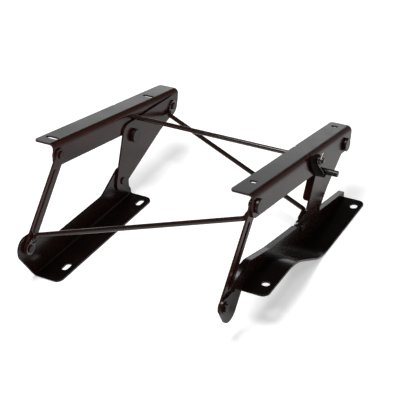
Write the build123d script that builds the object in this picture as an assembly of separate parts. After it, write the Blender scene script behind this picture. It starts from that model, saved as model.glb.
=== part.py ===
from build123d import *
import os
from math import atan2, cos, degrees, hypot, radians, sin

# Seat riser that tips forward: two side units of pressed sheet steel, each a four-bar linkage
# of base, front link, rear plate and top rail, tied together by bent round rods.
# X runs across the riser from left to right, Y from front to rear and Z up from the floor.
# Lengths are in millimetres and angles in degrees.

# Sheet, layers and fits
sheet = 3.0
web_spacing = 340.0
link_gap = 0.5
head_gap = 0.3
tight_fit = 0.02
running_fit = 0.08

# Top rails
rail_length = 396.0
rail_slope = 9.3
rail_front = 4.0
rail_front_height = 196.6
rail_flange = 39.0
rail_web = 39.0
rail_bend = 9.0
rail_front_corner = 14.0
rail_rear_corner = 20.0
flange_corner = 7.0
flange_nick_along = 236.0
flange_nick_deep = 1.5
seat_slot_length = 23.0
seat_slot_width = 10.0
short_slot_length = 12.5
left_seat_slots = ((26.0, 21.0), (rail_length - 78.0, 18.0))
right_seat_slots = ((49.0, 24.0), (rail_length - 22.0, 24.0))

# Linkage pivots: along and below the rail for the upper ones, on the base for the lower ones
upper_front_along = 13.9
upper_front_below = 19.9
upper_rear_from_end = 27.1
upper_rear_below = 25.4
lower_front = (-86.0, 60.3)
lower_rear = (187.0, 43.0)

# Pivot rivets
rivet_radius = 5.0
rivet_head = 6.5
rivet_head_high = 2.5
cover_head = 11.5
cover_head_high = 5.5
flat_head = 8.5
flat_head_high = 2.5
open_pivot_play = 3.4

# Left base
left_base_front = -75.0
left_base_rear = 217.0
left_flange = 45.0
left_flange_corner = 14.0
base_bend = 6.0
left_web_top = 42.0
left_web_low = 20.0
left_web_span = (-14.0, 126.0)
base_ear = 22.0
rear_ear = 24.0
base_slot_length = 21.0
base_slot_width = 10.0
base_slot_spacing = 227.0
base_slot_centre = (31.0, 81.5)

# Right base, with its stepped outer flange and its inner lip
front_pad_high = 59.0
front_pad_start = -33.0
ramp_top = 72.0
ramp_foot = 178.0
ramp_bend = 115.0
flange_radii = [ramp_bend, ramp_bend]
right_base_rear = 376.0
right_flange = 40.0
right_flange_corner = 12.0
bolt_hole_radius = 6.25
rear_slot_length = 17.0
front_bolt = (25.0, -4.0)
rear_bolt = (27.0, 354.0)
nose_foot = (-60.0, 67.0)
nose_top = (-25.0, 98.0)
wall_knee = (63.0, 74.0)
wall_rear_high = 13.0
lip_radii = [40.0, 48.0]
lip_wide = 7.0
lip_narrow = 3.0
boss_radius = 9.0
boss_high = 1.5
ear_top_radius = 14.0
ear_low_radius = 23.0
ear_low_from_pivot = (16.0, -10.3)

# Front links, with a long bead pressed towards the inside
link_width = 22.0
bead_width = 9.0
bead_high = 1.5
bead_clear = 29.0

# Rear plates: upper corners along and below the rail, the left plate's from the rail's rear end;
# toe and heel from the lower pivot
plate_foot = 19.0
plate_top = 19.5
plate_corner_radius = 18.0
left_plate_corner = (192.8, 22.1)
left_plate_knee = (65.6, 62.1)
right_plate_foot = 14.0
right_plate_top = 17.5
right_plate_corner = (263.6, 13.2)
right_plate_knee = (314.2, 87.0)
right_plate_toe = (28.0, 15.0)
right_plate_heel = (79.0, -13.0)
tab_deep = 13.0
tab_low = 16.0
tab_high = 76.0
tab_round = 6.0

# Bent tie rods
rod_radius = 4.0
rod_tab = 10.5
rod_neck = 6.5
rod_neck_at = 11.0
rod_round_at = 16.0
rod_bend_at = 22.0
rod_far_bend_at = 36.0
rod_bend = 8.0
rod_sunk = 0.1

# Latch: the shaft, striker and stop stud are placed along and below the rail
shaft_radius = 4.0
shaft_along = 234.3
shaft_below = 13.5
shaft_left_out = 5.0
shaft_right_out = 14.4
striker_radius = 5.25
striker_along = 274.0
striker_below = 44.9
striker_out = 26.0
striker_play = 0.3
striker_collar = 2.0
stop_radius = 12.0
stop_high = 7.0
stop_from_end = 161.4
stop_below = 46.35
clip_radius = 5.8
clip_thick = 1.2
clip_inset = 1.2

# Latch hook: its seat's slant, and its back's points from the shaft towards the striker
hook_thick = 4.0
hook_ring = 9.0
hook_slant = 60.0
hook_edge = 0.85
hook_lip_deep = 3.4
hook_lip_past = 2.8
hook_back = ((22.0, -20.0), (-6.0, -23.0), (-29.0, -17.0), (-35.0, -8.0), (-30.0, -5.0))
hook_back_radii = (25.0, 25.0, 8.0, 2.5, 1.5)
spring_wire = 1.0
spring_coil = 6.6
spring_turns = 2.25
spring_leg = 44.0
spring_tail = 11.0
spring_pitch = 2.4

slope = radians(rail_slope)
left_unit = (-sheet / 2, 1)
right_unit = (web_spacing - sheet / 2, -1)
link_near = sheet / 2 + link_gap
link_far = link_near + sheet
tab_far = link_far + sheet


def on_rail(along, below):
    # A point of the rail's side view, measured along its flange and down from it.
    y = rail_front + along * cos(slope) - below * sin(slope)
    z = rail_front_height - along * sin(slope) - below * cos(slope)
    return (y, z)


def from_rail_end(ahead, below):
    # A point of the rail's side view, measured forward from its rear end and down from it.
    return on_rail(rail_length - ahead, below)


upper_front = on_rail(upper_front_along, upper_front_below)
upper_rear = from_rail_end(upper_rear_from_end, upper_rear_below)
shaft = on_rail(shaft_along, shaft_below)
striker = on_rail(striker_along, striker_below)
stop_at = from_rail_end(stop_from_end, stop_below)


def shifted(point, offset):
    return (point[0] + offset[0], point[1] + offset[1])


def polar(point, radius, angle):
    return (point[0] + radius * cos(radians(angle)), point[1] + radius * sin(radians(angle)))


def direction(start, end):
    length = hypot(end[0] - start[0], end[1] - start[1])
    return ((end[0] - start[0]) / length, (end[1] - start[1]) / length)


def across(outline, low, high):
    # A side-view outline in Y and Z, given its thickness from x = low to x = high.
    return extrude(Plane.YZ.offset(min(low, high)) * outline, amount=abs(high - low))


def layer(unit, outline, near, far):
    # A piece between two distances from the web's mid-plane, counted towards the inside.
    middle, inward = unit
    return across(outline, middle + inward * near, middle + inward * far)


def disc(point, radius):
    return Pos(*point) * Circle(radius)


def outline(points, radii):
    return make_face(FilletPolyline(*points, radius=radii, close=True))


def parallel(points, distance):
    # The path moved to its left by a distance, with its corners mitred.
    moved = []
    for index, point in enumerate(points):
        before = direction(points[index - 1], point) if index > 0 else None
        after = direction(point, points[index + 1]) if index + 1 < len(points) else None
        first = before or after
        second = after or before
        normal_x = -(first[1] + second[1])
        normal_y = first[0] + second[0]
        scale = 2 * distance / (normal_x ** 2 + normal_y ** 2)
        moved.append((point[0] + normal_x * scale, point[1] + normal_y * scale))
    return moved


def parallel_radii(points, radii, distance):
    # The bend radii of the moved path: a left turn gets tighter and a right turn wider.
    changed = []
    for index, radius in enumerate(radii):
        before = direction(points[index], points[index + 1])
        after = direction(points[index + 1], points[index + 2])
        turn = before[0] * after[1] - before[1] * after[0]
        changed.append(max(radius - distance if turn > 0 else radius + distance, 0))
    return changed


def bent_strip(points, radii, thick):
    # The section of a bent sheet: an open path with rounded bends and its parallel on the left.
    inner = parallel(points, thick)
    inner_radii = parallel_radii(points, radii, thick)
    return outline(points + inner[::-1], [0] + list(radii) + [0, 0] + inner_radii[::-1] + [0])


def slot_tool(centre, length, width, turned, low, high):
    shape = SlotOverall(length, width)
    if turned:
        shape = Rot(0, 0, 90) * shape
    return extrude(Plane.XY.offset(low) * Pos(*centre) * shape, amount=high - low)


# Top rails

def top_rail(unit, slots, slot_length):
    # Drawn level, with the flange's top at z = 0 and its front end at y = 0, then tilted.
    middle, inward = unit
    outer = middle + sheet / 2
    section = bent_strip([(-rail_flange, 0), (0, 0), (0, -rail_web)][::-1], [rail_bend], sheet)
    rail = extrude(Plane.XZ * section, amount=-rail_length)
    side = outline(
        [(0, 1), (rail_length, 1), (rail_length, -rail_web), (0, -rail_web)],
        [0, 0, rail_rear_corner, rail_front_corner],
    )
    rail = rail & across(side, -rail_flange - 1, 1)
    plan = outline(
        [(1, 0), (-rail_flange, 0), (-rail_flange, rail_length), (1, rail_length)],
        [0, flange_corner, flange_corner, 0],
    )
    rail = rail & extrude(Plane.XY.offset(-rail_web - 1) * plan, amount=rail_web + 2)
    for along, inset in slots:
        rail -= slot_tool((-inset, along), slot_length, seat_slot_width, False, -2 * sheet, 1)
    nick = Pos(-rail_flange, flange_nick_along) * Rectangle(2 * flange_nick_deep, 4 * flange_nick_deep)
    rail -= extrude(Plane.XY.offset(-2 * sheet) * nick, amount=2 * sheet + 1)
    holes = (
        (upper_front_along, upper_front_below, rivet_radius + open_pivot_play),
        (rail_length - upper_rear_from_end, upper_rear_below, rivet_radius + running_fit),
        (shaft_along, shaft_below, shaft_radius + running_fit),
    )
    for along, below, radius in holes:
        rail -= across(disc((along, -below), radius), -2 * sheet, 1)
    return Pos(outer, rail_front, rail_front_height) * Rot(-rail_slope, 0, 0) * rail


# Bases

def left_base():
    middle, inward = left_unit
    outer = middle - sheet / 2
    section = bent_strip(
        [(outer, lower_front[1] + base_ear + 20), (outer, 0), (left_flange, 0)], [base_bend], sheet
    )
    start = lower_front[0] - base_ear - 1
    bracket = extrude(Plane.XZ.offset(-start) * section, amount=-(left_base_rear - start))
    ear_top = lower_front[1] + base_ear
    rear_ear_top = lower_rear[1] + rear_ear
    side = outline(
        [
            (left_base_front + sheet, -1),
            (lower_front[0] - base_ear, lower_front[1] - base_ear / 3),
            (lower_front[0] - base_ear, ear_top),
            (lower_front[0] + base_ear * 0.8, ear_top - sheet),
            (left_web_span[0], left_web_top),
            (left_web_span[1], left_web_top),
            (lower_rear[0] - rear_ear / 2, rear_ear_top + sheet),
            (lower_rear[0] + rear_ear, rear_ear_top + sheet),
            (lower_rear[0] + rear_ear, left_web_low),
            (left_base_rear, left_web_low - rear_ear / 3),
            (left_base_rear, -1),
        ],
        [0, 18, 19, 12, 16, 20, 12, 20, 10, 4, 0],
    )
    bracket = bracket & across(side, outer - 1, left_flange + 1)
    plan = outline(
        [
            (outer - 1, start),
            (outer - 1, left_base_rear),
            (left_flange, left_base_rear),
            (left_flange, left_base_front),
            (sheet, left_base_front),
            (sheet, start),
        ],
        [0, 0, left_flange_corner, left_flange_corner, 2, 0],
    )
    bracket = bracket & extrude(Plane.XY.offset(-1) * plan, amount=200)
    for side_sign in (-1, 1):
        centre = (base_slot_centre[0], base_slot_centre[1] + side_sign * base_slot_spacing / 2)
        bracket -= slot_tool(centre, base_slot_length, base_slot_width, True, -1, sheet + 1)
    for pivot in (lower_front, lower_rear):
        bracket -= across(disc(pivot, rivet_radius + running_fit), outer - 1, outer + sheet + 1)
    return bracket


def flange_path():
    # The top surface of the stepped flange in side view, from rear to front.
    return [
        (right_base_rear, sheet),
        (ramp_foot, sheet),
        (ramp_top, front_pad_high),
        (front_pad_start, front_pad_high),
    ]


def lip_path():
    # The top surface of the inner lip in side view, from rear to front.
    run = direction(wall_knee, (right_base_rear, wall_rear_high))
    past_end = (right_base_rear + 5, wall_rear_high + 5 * run[1] / run[0])
    return [past_end, wall_knee, nose_top, nose_foot]


def right_wall():
    # The wall's edges run inside the thickness of the flange and of the lip.
    low = parallel(flange_path(), sheet / 2)
    low_radii = parallel_radii(flange_path(), flange_radii, sheet / 2)
    high = parallel(lip_path(), sheet / 2)
    high_radii = parallel_radii(lip_path(), lip_radii, sheet / 2)
    run = direction(high[1], high[0])
    rear_top = (right_base_rear, high[1][1] + (right_base_rear - high[1][0]) * run[1] / run[0])
    ear_low = shifted(lower_front, ear_low_from_pivot)
    ear_points = [
        polar(lower_front, ear_top_radius, 75),
        polar(lower_front, ear_top_radius, 205),
        polar(ear_low, ear_low_radius, 205),
        polar(ear_low, ear_low_radius, -35),
    ]
    points = [rear_top] + high[1:] + ear_points + low[::-1]
    radii = [0] + high_radii + [0, 0, 0, 0, 0, 0] + low_radii[::-1] + [0]
    wall = outline(points, radii)
    return wall + disc(lower_front, ear_top_radius) + disc(ear_low, ear_low_radius)


def right_lip():
    # The lip turned inwards along the wall's top, with a gap where the rear plate stands.
    section = bent_strip(lip_path(), lip_radii, sheet)
    inner = web_spacing - sheet
    lip_end = lower_rear[0] - right_plate_foot - link_gap
    lip_restart = lower_rear[0] + right_plate_heel[0] + 2 * sheet
    plan = Polyline(
        (web_spacing, nose_foot[0] - lip_wide),
        (inner - lip_narrow, nose_foot[0] - lip_wide),
        (inner - lip_wide, nose_top[0]),
        (inner - lip_wide, lip_end - lip_wide / 2),
        (inner - lip_wide / 2, lip_end),
        (inner, lip_end),
        (inner, lip_restart),
        (inner - lip_wide / 2, lip_restart),
        (inner - lip_wide, lip_restart + lip_wide / 2),
        (inner - lip_wide, right_base_rear),
        (web_spacing, right_base_rear),
        close=True,
    )
    lip = across(section, inner - lip_wide, web_spacing)
    return lip & extrude(make_face(plan), amount=4 * nose_top[1])


def right_base():
    section = bent_strip(flange_path(), flange_radii, sheet)
    flange = across(section, web_spacing - sheet, web_spacing + right_flange)
    plan = outline(
        [
            (web_spacing - sheet, front_pad_start),
            (web_spacing + right_flange, front_pad_start),
            (web_spacing + right_flange, right_base_rear),
            (web_spacing - sheet, right_base_rear),
        ],
        [0, right_flange_corner, right_flange_corner, 0],
    )
    flange = flange & extrude(Plane.XY.offset(-1) * plan, amount=200)
    bracket = flange + across(right_wall(), web_spacing - sheet, web_spacing) + right_lip()
    bracket += across(disc(lower_front, boss_radius), web_spacing - sheet, web_spacing + boss_high)
    front_hole = Pos(web_spacing + front_bolt[0], front_bolt[1]) * Circle(bolt_hole_radius)
    bracket -= extrude(Plane.XY * front_hole, amount=2 * front_pad_high)
    rear_hole = (web_spacing + rear_bolt[0], rear_bolt[1])
    bracket -= slot_tool(rear_hole, rear_slot_length, 2 * bolt_hole_radius, True, -1, sheet + 1)
    for pivot in (lower_front, lower_rear):
        bracket -= across(
            disc(pivot, rivet_radius + running_fit), web_spacing - 2 * sheet, web_spacing + 9
        )
    return bracket


# Links and plates

def front_link(unit):
    # A flat bar with rounded ends, stiffened by a long bead pressed towards the inside.
    along = direction(lower_front, upper_front)
    length = hypot(upper_front[0] - lower_front[0], upper_front[1] - lower_front[1])
    centre = ((lower_front[0] + upper_front[0]) / 2, (lower_front[1] + upper_front[1]) / 2)
    place = Pos(*centre) * Rot(0, 0, degrees(atan2(along[1], along[0])))
    bead_run = length - 2 * bead_clear
    bead_end = link_far + bead_high
    link = layer(unit, place * SlotCenterToCenter(length, link_width), link_near, link_far)
    bead = layer(unit, place * SlotCenterToCenter(bead_run, bead_width), link_near + 1, bead_end)
    crest = bead.edges().group_by(Axis.X)[-1 if unit[1] > 0 else 0]
    link += chamfer(crest, bead_high * 0.6)
    hollow = SlotCenterToCenter(bead_run, bead_width - bead_high)
    link -= layer(unit, place * hollow, link_near - 1, link_near + bead_high)
    for pivot in (lower_front, upper_front):
        link -= layer(unit, disc(pivot, rivet_radius + tight_fit), link_near - 1, link_far + 1)
    return link


def plate_face(points, radii, foot, top, extra_hole):
    # A plate's side view: the corners given, rounded ends round both pivots, and its holes.
    face = outline(points, radii) + disc(lower_rear, foot) + disc(upper_rear, top)
    for point, radius in ((lower_rear, rivet_radius), (upper_rear, rivet_radius), extra_hole):
        face -= disc(point, radius + tight_fit)
    return face


def plate_ends(foot, top, foot_angles):
    # The points where a plate's edges leave its rounded ends, rear ones first.
    top_rear = polar(upper_rear, top, -105)
    top_front = polar(upper_rear, top, 95 - rail_slope)
    return [top_rear, top_front] + [polar(lower_rear, foot, angle) for angle in foot_angles]


def left_plate():
    top_rear, top_front, foot_front, foot_rear = plate_ends(plate_foot, plate_top, (165, -20))
    points = [foot_rear, from_rail_end(*left_plate_knee), top_rear, top_front]
    points += [from_rail_end(*left_plate_corner), foot_front]
    radii = [0, 30, 0, 0, plate_corner_radius, 0]
    face = plate_face(points, radii, plate_foot, plate_top, (stop_at, rivet_radius))
    return layer(left_unit, face, link_near, link_far)


def right_plate():
    # The right plate stands further back, and a tab is turned inwards from its front edge.
    foot, top = right_plate_foot, right_plate_top
    top_rear, top_front, foot_front, foot_rear = plate_ends(foot, top, (100, -80))
    toe = shifted(lower_rear, right_plate_toe)
    heel = shifted(lower_rear, right_plate_heel)
    corner = on_rail(*right_plate_corner)
    points = [foot_rear, heel, on_rail(*right_plate_knee), top_rear, top_front]
    points += [corner, toe, foot_front]
    radii = [0, 12, 20, 0, 0, plate_corner_radius, 8, 0]
    face = plate_face(points, radii, foot, top, (striker, striker_radius))
    plate = layer(right_unit, face, link_near, link_far)
    lean = direction(toe, corner)
    low = (toe[0] + lean[0] * tab_low, toe[1] + lean[1] * tab_low)
    high = (toe[0] + lean[0] * tab_high, toe[1] + lean[1] * tab_high)
    inside = (sheet * lean[1], -sheet * lean[0])
    face = outline([low, high, shifted(high, inside), shifted(low, inside)], [0, 0, 0, 0])
    tab = layer(right_unit, face, link_near, link_near + tab_deep)
    far_edges = tab.edges().group_by(Axis.X)[0].sort_by(Axis.Z)
    return plate + fillet([far_edges[0], far_edges[-1]], tab_round)


# Rivets, studs and the striker

def rivet(unit, pivot, inner_face, outer_radius, outer_high, outer_face=sheet / 2):
    # A shank through all layers, with a small head inside and another outside the web.
    shank = layer(unit, disc(pivot, rivet_radius), inner_face, -outer_face - head_gap)
    inner = layer(unit, disc(pivot, rivet_head), inner_face, inner_face + rivet_head_high)
    start = -outer_face - head_gap
    outer = layer(unit, disc(pivot, outer_radius), start, start - outer_high)
    inner = chamfer(inner.edges().filter_by(GeomType.CIRCLE), rivet_head_high * 0.3)
    rim = outer.edges().filter_by(GeomType.CIRCLE)
    outer = chamfer(rim, outer_high * 0.2)
    return shank + inner + outer


# Tie rods

def rod_end(x, pivot, along, x_round):
    # The hammered end: a round tab, a flat neck and the change to the round rod.
    thick = sheet
    neck = (pivot[0] + along[0] * rod_neck_at, pivot[1] + along[1] * rod_neck_at)
    side = (-along[1], along[0])
    tangent = [
        (pivot[0] + side[0] * rod_tab * k, pivot[1] + side[1] * rod_tab * k) for k in (1, -1)
    ]
    ends = [
        (neck[0] + side[0] * rod_neck * k, neck[1] + side[1] * rod_neck * k) for k in (-1, 1)
    ]
    face = make_face(Polyline(*tangent, *ends, close=True)) + disc(pivot, rod_tab)
    face -= disc(pivot, rivet_radius + tight_fit)
    tab = across(face, x, x + thick)

    def section(distance, centre_x, shape):
        origin = (centre_x, pivot[0] + along[0] * distance, pivot[1] + along[1] * distance)
        plane = Plane(origin=origin, x_dir=(0, side[0], side[1]), z_dir=(0, along[0], along[1]))
        return plane * shape

    flat_shape = Ellipse(rod_neck - rod_sunk, thick / 2 - rod_sunk)
    flat = section(rod_neck_at - thick, x + thick / 2, flat_shape)
    rounded = section(rod_round_at, x_round, Circle(rod_radius))
    return tab + loft([flat, rounded])


def tie_rod(left_pivot, right_pivot, right_bend_at):
    # Both ends lie flat on the inside of a link or plate and turn into one straight run.
    along = direction(left_pivot, right_pivot)
    left_face = left_unit[0] + left_unit[1] * link_far
    right_face = right_unit[0] + right_unit[1] * link_far
    left_x = left_face + rod_radius
    right_x = right_face - rod_radius

    def at(x, pivot, distance):
        return (x, pivot[0] + along[0] * distance, pivot[1] + along[1] * distance)

    path = FilletPolyline(
        at(left_x, left_pivot, rod_round_at),
        at(left_x, left_pivot, rod_bend_at),
        at(right_x, right_pivot, -right_bend_at),
        at(right_x, right_pivot, -rod_round_at),
        radius=rod_bend,
    )
    start = Plane(origin=path @ 0, z_dir=path % 0)
    rod = sweep(start * Circle(rod_radius), path=path)
    rod += rod_end(left_face, left_pivot, along, left_x)
    back = (-along[0], -along[1])
    rod += rod_end(right_face - sheet, right_pivot, back, right_x)
    return rod


# Latch

def latch_shaft():
    low = -sheet - shaft_left_out
    high = web_spacing + shaft_right_out
    bar = across(disc(shaft, shaft_radius), low, high)
    return chamfer(bar.edges().filter_by(GeomType.CIRCLE), 0.8)


def latch_hook():
    # A crescent blade on a ring, drawn along u from the shaft to the striker and v across it.
    # Its lip stands behind the striker on a slant, so that it slips off as the hook swings away.
    reach = hypot(striker[0] - shaft[0], striker[1] - shaft[1])
    tilt = degrees(atan2(striker[1] - shaft[1], striker[0] - shaft[0]))
    play = striker_radius + striker_play
    seat = polar((reach, 0), play, hook_slant - 90)
    edge = -play - hook_edge
    corner_back = (edge - seat[1]) / sin(radians(hook_slant))
    corner = polar(seat, corner_back, hook_slant)
    lip_inner = polar(seat, hook_lip_past, hook_slant)
    lip_outer = polar(lip_inner, hook_lip_deep, hook_slant - 80)
    heel = polar(lip_outer, 2 * hook_lip_deep + hook_edge, hook_slant + 197)
    start = (hook_ring / 2, -hook_ring / 4)
    inner = (hook_ring + 1, edge)
    end = (-hook_ring * 0.6, -hook_ring / 3)
    face = outline(
        [start, inner, corner, lip_inner, lip_outer, heel] + list(hook_back) + [end],
        [0, 5, 3, 1.1, 1.1, 4] + list(hook_back_radii) + [0],
    )
    face = Pos(*shaft) * Rot(0, 0, tilt) * (face + disc((0, 0), hook_ring))
    face -= disc(shaft, shaft_radius + tight_fit)
    low = web_spacing + head_gap
    return across(face, low, low + hook_thick)


def latch_spring():
    # A torsion coil round the shaft, one leg down the hook's edge and one short free leg.
    height = spring_turns * spring_pitch
    helix = Helix(spring_pitch, height, spring_coil, direction=(1, 0, 0), lefthand=True)
    leave = helix % 0
    leg_angle = degrees(atan2(striker[1] - shaft[1], striker[0] - shaft[0]))
    spring_lean = leg_angle - degrees(atan2(-leave.Z, -leave.Y))
    start = Plane(origin=helix @ 0, z_dir=helix % 0)
    wire = RegularPolygon(spring_wire, 8)
    coil = sweep(start * wire, path=helix, is_frenet=True)
    for position, run in ((0, -spring_leg), (1, spring_tail)):
        lean = Vector(0, (helix % position).Y, (helix % position).Z)
        root = helix @ position - lean * (spring_wire * run / abs(run) / 2)
        leg = extrude(Plane(origin=root, z_dir=lean) * Rot(0, 0, 22.5) * wire, amount=run)
        coil = coil.fuse(leg)
    low = web_spacing + head_gap + hook_thick + spring_wire
    return Pos(low, *shaft) * Rot(spring_lean, 0, 0) * coil


def striker_pin():
    # The handle stub that the hook catches, riveted into the right plate.
    middle, inward = right_unit
    inner_end = middle + inward * (link_far + striker_collar + head_gap)
    bar = across(disc(striker, striker_radius), inner_end, web_spacing + striker_out)
    bar = chamfer(bar.edges().filter_by(GeomType.CIRCLE), striker_play)
    face = disc(striker, striker_radius + striker_collar)
    return bar + layer(right_unit, face, link_far, link_far + striker_collar)


def stop_stud():
    start = link_far
    head = layer(left_unit, disc(stop_at, stop_radius), start, start + stop_high)
    head = chamfer(head.edges().filter_by(GeomType.CIRCLE), 1.0)
    shank = layer(left_unit, disc(stop_at, rivet_radius), link_near - 1.5, start)
    return head + shank


def push_nut(low):
    face = disc(shaft, clip_radius) - disc(shaft, shaft_radius + tight_fit)
    return across(face, low, low + clip_thick)


# All pieces, moved so that the origin is the middle of the left base's slot line.
pieces = {
    "left_top_rail": top_rail(left_unit, left_seat_slots, seat_slot_length),
    "right_top_rail": top_rail(right_unit, right_seat_slots, short_slot_length),
    "left_base": left_base(),
    "right_base": right_base(),
    "left_front_link": front_link(left_unit),
    "right_front_link": front_link(right_unit),
    "left_rear_plate": left_plate(),
    "right_rear_plate": right_plate(),
    "front_tie_rod": tie_rod(lower_front, upper_front, rod_bend_at),
    "rear_tie_rod": tie_rod(upper_rear, lower_rear, rod_far_bend_at),
    "latch_shaft": latch_shaft(),
    "latch_hook": latch_hook(),
    "latch_spring": latch_spring(),
    "striker_pin": striker_pin(),
    "stop_stud": stop_stud(),
    "left_push_nut": push_nut(-sheet - head_gap - clip_thick),
    "right_push_nut": push_nut(web_spacing + shaft_right_out - clip_inset - clip_thick),
    "left_upper_front_rivet": rivet(left_unit, upper_front, link_far, cover_head, flat_head_high),
    "right_upper_front_rivet": rivet(right_unit, upper_front, tab_far, cover_head, cover_head_high),
    "left_upper_rear_rivet": rivet(left_unit, upper_rear, tab_far, flat_head, flat_head_high),
    "right_upper_rear_rivet": rivet(right_unit, upper_rear, link_far, cover_head, cover_head_high),
    "left_lower_front_rivet": rivet(left_unit, lower_front, tab_far, flat_head, flat_head_high),
    "right_lower_front_rivet": rivet(
        right_unit, lower_front, link_far, rivet_head, rivet_head_high, sheet / 2 + boss_high
    ),
    "left_lower_rear_rivet": rivet(left_unit, lower_rear, link_far, flat_head, flat_head_high),
    "right_lower_rear_rivet": rivet(right_unit, lower_rear, tab_far, rivet_head, rivet_head_high),
}

os.makedirs("parts", exist_ok=True)
origin_shift = Pos(-base_slot_centre[0], -base_slot_centre[1], 0)
for name, piece in pieces.items():
    export_step(origin_shift * piece, f"parts/{name}.step")
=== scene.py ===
import bpy
from math import cos, radians, sin
from mathutils import Matrix, Vector


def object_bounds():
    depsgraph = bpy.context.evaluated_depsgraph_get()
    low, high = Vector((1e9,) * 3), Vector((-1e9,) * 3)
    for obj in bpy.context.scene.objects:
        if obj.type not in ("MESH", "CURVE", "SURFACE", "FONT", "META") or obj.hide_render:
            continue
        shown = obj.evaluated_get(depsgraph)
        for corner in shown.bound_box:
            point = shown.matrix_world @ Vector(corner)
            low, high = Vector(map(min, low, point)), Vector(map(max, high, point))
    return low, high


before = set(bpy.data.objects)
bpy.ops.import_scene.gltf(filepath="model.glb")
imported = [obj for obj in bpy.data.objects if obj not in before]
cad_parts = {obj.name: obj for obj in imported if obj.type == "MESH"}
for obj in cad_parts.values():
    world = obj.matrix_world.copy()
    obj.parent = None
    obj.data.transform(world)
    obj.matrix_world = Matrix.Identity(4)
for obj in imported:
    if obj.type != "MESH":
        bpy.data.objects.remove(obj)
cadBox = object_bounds()
print("frame loaded:", len(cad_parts), "nodes")


# Materials

def linear(hexColour):
    channels = [int(hexColour[i:i + 2], 16) / 255 for i in (1, 3, 5)]
    return [c / 12.92 if c <= 0.04045 else ((c + 0.055) / 1.055) ** 2.4 for c in channels] + [1.0]


def emptyTree(owner):
    owner.use_nodes = True
    owner.node_tree.nodes.clear()
    return owner.node_tree


def addNode(tree, kind, settings=None, links=None):
    # settings: an input's name or number, a property's name, or "stops" for a ramp -> value
    # links: an input's name or number -> (node, output)
    node = tree.nodes.new(kind)
    for name, value in (settings or {}).items():
        if name == "stops":
            for stop, (position, colour) in zip(node.color_ramp.elements, value):
                stop.position = position
                stop.color = colour
        elif isinstance(name, int) or name in node.inputs:
            node.inputs[name].default_value = value
        else:
            setattr(node, name, value)
    for name, (source, output) in (links or {}).items():
        tree.links.new(source.outputs[output], node.inputs[name])
    return node


# Baked enamel over pressed steel, dipped and stoved: a glossy skin with a faint orange peel. Its
# colour is painted by how a face is turned: a brown painted sheen on upright sheets, and black
# painted shade on level ones.
enamel = {
    "name": "bakedEnamel",
    # The next two colours are the painted shade on level faces and the painted brown sheen on
    # upright faces. The two numbers after them say, by how level a face is, where each holds.
    "thick": "#0a0605",
    "paintedSideSheen": "#371812",
    "paintedSideSheenUpTo": 0.78,            # how level a face is, from 0 on a wall to 1 on a flat top
    "thickFrom": 0.96,
    "cloudy": "#160c0a",         # faint patches where the film pooled
    "cloudMm": 45,
    "cloudDetail": 4.0,
    "cloudRoughness": 0.55,
    "cloudFrom": 0.35,
    "cloudFull": 0.75,
    "cloudMost": 0.6,
    "roughLow": 0.15,            # outside the patches, and inside them
    "roughHigh": 0.24,
    "roughFull": 0.7,
    "peelMm": 2.2,
    "bump": 0.03,
    "bumpMm": 1.0,
    "ior": 1.36,
    "coat": 0.0,
    "coatRoughness": 0.06,
    "metallic": 0.0,
}

# Each finish below keeps the enamel's painted shade on level faces and painted sheen on upright
# faces, some with their own colours for them.
# The same enamel on the two bases, with a darker painted sheen on their upright sheets.
baseEnamel = dict(enamel, name="baseEnamel", paintedSideSheen="#251612")

# The same enamel on the tie rods and the latch shaft: cold-drawn round bar, which is smoother
# under it and takes a brighter gloss.
barEnamel = dict(enamel, name="barEnamel", paintedSideSheen="#2b1712", peelMm=1.5, roughLow=0.1,
                 roughHigh=0.16, ior=1.55, coat=0.25)

# The same enamel over upset rivet heads and the stop stud, a little uneven from the tool.
rivetEnamel = dict(enamel, name="rivetEnamel", paintedSideSheen="#26130f", peelMm=1.2, cloudMm=12,
                   roughLow=0.2, roughHigh=0.32)

# Oil-blacked push nuts and turned pin: satin black, not painted.
blackSteel = dict(enamel, name="oilBlackedSteel", thick="#0f0d0c", paintedSideSheen="#1d1613",
                  cloudy="#1a1614", peelMm=0.8, cloudMm=8, roughLow=0.24, roughHigh=0.36,
                  ior=1.42)

# Hard-drawn spring wire under a thin oil film: grey steel, with bright glints along the turns.
springSteel = dict(blackSteel, name="springSteel", thick="#6e6862", paintedSideSheen="#78716b",
                   cloudy="#55504b", roughLow=0.2, roughHigh=0.3, ior=1.5, metallic=0.85)

# The blanked hook, blacked in hot salts: a flat, dry black.
hookSteel = dict(blackSteel, name="saltBlackedSteel", paintedSideSheen="#120a08", roughLow=0.45,
                 roughHigh=0.6, ior=1.06)

# The rivets take rivetEnamel, and the other pressed sheets plain enamel.
finishOf = {
    "left_base": baseEnamel,
    "right_base": baseEnamel,
    "front_tie_rod": barEnamel,
    "rear_tie_rod": barEnamel,
    "latch_shaft": barEnamel,
    "stop_stud": rivetEnamel,
    "left_push_nut": blackSteel,
    "right_push_nut": blackSteel,
    "striker_pin": blackSteel,
    "latch_spring": springSteel,
    "latch_hook": hookSteel,
}


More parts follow.
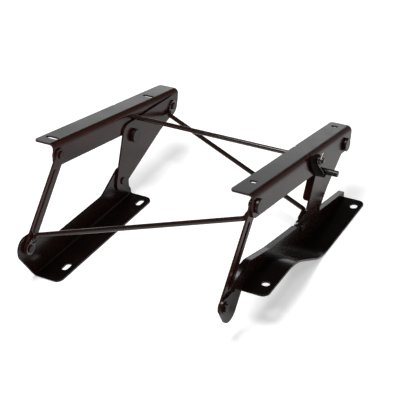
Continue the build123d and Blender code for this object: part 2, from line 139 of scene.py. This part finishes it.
def paint(look):
    material = bpy.data.materials.new(look["name"])
    tree = emptyTree(material)
    place = addNode(tree, "ShaderNodeTexCoord")
    clouds = addNode(tree, "ShaderNodeTexNoise", {
        "Scale": 1000 / look["cloudMm"],
        "Detail": look["cloudDetail"], "Roughness": look["cloudRoughness"],
    }, {"Vector": (place, "Object")})
    peel = addNode(tree, "ShaderNodeTexNoise", {
        "Scale": 1000 / look["peelMm"],
    }, {"Vector": (place, "Object")})
    # Painted sheen and shade: upright faces take the side colour and level faces the dark top
    # colour, chosen by the height of the normal.
    sides = addNode(tree, "ShaderNodeSeparateXYZ", {}, {"Vector": (place, "Normal")})
    level = addNode(tree, "ShaderNodeMath", {"operation": "ABSOLUTE"}, {"Value": (sides, "Z")})
    paintedFacingTint = addNode(tree, "ShaderNodeValToRGB", {"stops": [
        (look["paintedSideSheenUpTo"], linear(look["paintedSideSheen"])),
        (look["thickFrom"], linear(look["thick"])),
    ]}, {"Fac": (level, "Value")})
    most = look["cloudMost"]
    patches = addNode(tree, "ShaderNodeValToRGB", {"stops": [
        (look["cloudFrom"], (0, 0, 0, 1)),
        (look["cloudFull"], (most, most, most, 1)),
    ]}, {"Fac": (clouds, "Fac")})
    # A Mix node's two colours are its inputs 6 and 7, and their mix is its output 2.
    colour = addNode(tree, "ShaderNodeMix", {
        "data_type": "RGBA", 7: linear(look["cloudy"]),
    }, {"Factor": (patches, "Color"), 6: (paintedFacingTint, "Color")})
    rough = addNode(tree, "ShaderNodeMapRange", {
        "From Min": look["cloudFrom"], "From Max": look["roughFull"],
        "To Min": look["roughLow"], "To Max": look["roughHigh"],
    }, {"Value": (clouds, "Fac")})
    bump = addNode(tree, "ShaderNodeBump", {
        "Strength": look["bump"], "Distance": look["bumpMm"] / 1000,
    }, {"Height": (peel, "Fac")})
    shader = addNode(tree, "ShaderNodeBsdfPrincipled", {
        "Metallic": look["metallic"], "IOR": look["ior"],
        "Coat Weight": look["coat"], "Coat Roughness": look["coatRoughness"],
    }, {
        "Base Color": (colour, 2),
        "Roughness": (rough, "Result"),
        "Normal": (bump, "Normal"),
    })
    addNode(tree, "ShaderNodeOutputMaterial", {}, {"Surface": (shader, "BSDF")})
    return material


looks = (enamel, baseEnamel, barEnamel, rivetEnamel, blackSteel, springSteel, hookSteel)
finishes = {look["name"]: paint(look) for look in looks}
for name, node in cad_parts.items():
    look = finishOf.get(name, rivetEnamel if name.endswith("rivet") else enamel)
    if not node.data.materials:
        node.data.materials.append(finishes[look["name"]])
    for slot in node.material_slots:
        slot.material = finishes[look["name"]]
print("materials done")


# Floor

floorLook = {
    "size": 9.0,
    "drop": 0.0002,              # below the bases' undersides, so that no two faces share a plane
    "pale": "#e3e3e3",
    "paler": "#e6e6e6",
    "grainMm": 25,
    "grainFrom": 0.4,
    "grainFull": 0.6,
    "glow": 0.49,                # to the camera only, so that bare paper is pure white
    "farGlow": 0.9,              # the same away from the riser, where the lamps fall off
    "nearRadius": 0.7,
    "farRadius": 1.7,
    "mirroredGlow": 0.04,        # in reflections and through glass, low so that paint stays dark
}


def floorMaterial(look):
    # White paper under the lamps, with a glow added: where it is bare and lit it is pure white to
    # the camera, and under the riser it keeps the shadow.
    material = bpy.data.materials.new("paperSweep")
    tree = emptyTree(material)
    place = addNode(tree, "ShaderNodeTexCoord")
    grain = addNode(tree, "ShaderNodeTexNoise", {
        "Scale": 1000 / look["grainMm"],
    }, {"Vector": (place, "Object")})
    tone = addNode(tree, "ShaderNodeValToRGB", {"stops": [
        (look["grainFrom"], linear(look["pale"])),
        (look["grainFull"], linear(look["paler"])),
    ]}, {"Fac": (grain, "Fac")})
    matte = addNode(tree, "ShaderNodeBsdfDiffuse", {"Roughness": 1.0}, {"Color": (tone, "Color")})
    rays = addNode(tree, "ShaderNodeLightPath")
    mirrored = addNode(tree, "ShaderNodeMath", {"operation": "MAXIMUM"}, {
        0: (rays, "Is Glossy Ray"), 1: (rays, "Is Transmission Ray"),
    })
    indirect = addNode(tree, "ShaderNodeMath", {
        "operation": "MULTIPLY", 1: look["mirroredGlow"],
    }, {0: (mirrored, "Value")})
    away = addNode(tree, "ShaderNodeVectorMath", {"operation": "LENGTH"}, {
        "Vector": (place, "Object"),
    })
    glow = addNode(tree, "ShaderNodeMapRange", {
        "From Min": look["nearRadius"], "From Max": look["farRadius"],
        "To Min": look["glow"], "To Max": look["farGlow"],
    }, {"Value": (away, "Value")})
    strength = addNode(tree, "ShaderNodeMath", {"operation": "MULTIPLY_ADD"}, {
        0: (rays, "Is Camera Ray"), 1: (glow, "Result"), 2: (indirect, "Value"),
    })
    white = addNode(tree, "ShaderNodeEmission", {"Color": (1, 1, 1, 1)}, {
        "Strength": (strength, "Value"),
    })
    both = addNode(tree, "ShaderNodeAddShader", {}, {
        0: (matte, "BSDF"), 1: (white, "Emission"),
    })
    addNode(tree, "ShaderNodeOutputMaterial", {}, {"Surface": (both, "Shader")})
    return material


floorHeight = cadBox[0][2] - floorLook["drop"]
bpy.ops.mesh.primitive_plane_add(size=floorLook["size"], location=(0, 0, floorHeight))
floor = bpy.context.object
floor.name = "floorSheet"
floor.data.materials.append(floorMaterial(floorLook))
print("floor done")


# Light

# A white wall behind on the left, dim walls round the rest and a dim ceiling: level tops mirror
# the ceiling and look black, the sloping rails mirror the wall, and their bends the gap between.
# To the camera alone the backdrop is plain white.
studioLook = {
    "wallSide": (-0.62, 0.78, 0.0),   # the way to the white wall's middle
    "wallStart": 0.72,                # cosines of the angles from there where the wall starts
    "wallFull": 0.93,                 # and is full
    "wallStrength": 1.3,
    "dimStrength": 0.3,               # the other walls
    "wallHigh": 0.15,                 # sines of the heights where the walls start to fade
    "ceilingLow": 0.3,                # and the ceiling starts
    "ceilingStrength": 0.03,
    "seenStrength": 1.0,
}


def studioWorld(look):
    world = bpy.data.worlds.new("studio")
    tree = emptyTree(world)
    heading = addNode(tree, "ShaderNodeTexCoord")
    parts = addNode(tree, "ShaderNodeSeparateXYZ", {}, {"Vector": (heading, "Generated")})
    side = addNode(tree, "ShaderNodeVectorMath", {
        "operation": "DOT_PRODUCT", 1: look["wallSide"],
    }, {0: (heading, "Generated")})
    wall = addNode(tree, "ShaderNodeMapRange", {
        "interpolation_type": "SMOOTHSTEP",
        "From Min": look["wallStart"], "From Max": look["wallFull"],
        "To Min": look["dimStrength"], "To Max": look["wallStrength"],
    }, {"Value": (side, "Value")})
    strength = addNode(tree, "ShaderNodeMapRange", {
        "interpolation_type": "SMOOTHSTEP",
        "From Min": look["wallHigh"], "From Max": look["ceilingLow"],
        "To Max": look["ceilingStrength"],
    }, {"Value": (parts, "Z"), "To Min": (wall, "Result")})
    rays = addNode(tree, "ShaderNodeLightPath")
    # A Mix node's factor is its input 0, its two numbers are 2 and 3, and their mix is output 0.
    seen = addNode(tree, "ShaderNodeMix", {"data_type": "FLOAT", 3: look["seenStrength"]}, {
        0: (rays, "Is Camera Ray"), 2: (strength, "Result"),
    })
    background = addNode(tree, "ShaderNodeBackground", {"Color": (1, 1, 1, 1)}, {
        "Strength": (seen, 0),
    })
    addNode(tree, "ShaderNodeOutputWorld", {}, {"Surface": (background, "Background")})
    return world


bpy.context.scene.world = studioWorld(studioLook)

riserMiddle = Vector((0.14, 0.05, 0.05))   # both lamps point at it
keyLook = {"name": "keyBox", "place": (-0.18, -0.56, 2.45), "size": 1.1, "power": 62}
fillLook = {"name": "fillBox", "place": (1.0, -0.7, 2.3), "size": 1.0, "power": 9}


def softBox(look):
    light = bpy.data.lights.new(look["name"], "AREA")
    light.size = look["size"]
    light.energy = look["power"]
    lamp = bpy.data.objects.new(look["name"], light)
    aim = (riserMiddle - Vector(look["place"])).to_track_quat("-Z", "Y")
    lamp.matrix_world = Matrix.Translation(look["place"]) @ aim.to_matrix().to_4x4()
    bpy.context.scene.collection.objects.link(lamp)


softBox(keyLook)
softBox(fillLook)
print("light done")


# Camera, fitted to the photograph

cameraLook = {
    "place": (0.86881, -1.28125, 0.96309),
    "turn": -28.25,
    "down": 30.26,
    "roll": -0.49,
    "lens": 97.92,
    "sensorWidth": 36,
    "clipEnd": 50,
}


def aimCamera(look):
    turn, down, roll = (radians(look[k]) for k in ("turn", "down", "roll"))
    ahead = Vector((sin(turn) * cos(down), cos(turn) * cos(down), -sin(down)))
    level = Vector((cos(turn), -sin(turn), 0))
    above = level.cross(ahead)
    right = level * cos(roll) + above * sin(roll)
    up = above * cos(roll) - level * sin(roll)
    data = bpy.data.cameras.new("photoCamera")
    data.sensor_width = look["sensorWidth"]
    data.lens = look["lens"]
    data.clip_end = look["clipEnd"]
    camera = bpy.data.objects.new("photoCamera", data)
    bpy.context.scene.collection.objects.link(camera)
    turned = Matrix((right, up, -ahead)).transposed().to_4x4()
    camera.matrix_world = Matrix.Translation(look["place"]) @ turned
    bpy.context.scene.camera = camera


aimCamera(cameraLook)
bpy.context.scene.view_settings.view_transform = "Standard"
print("camera done")
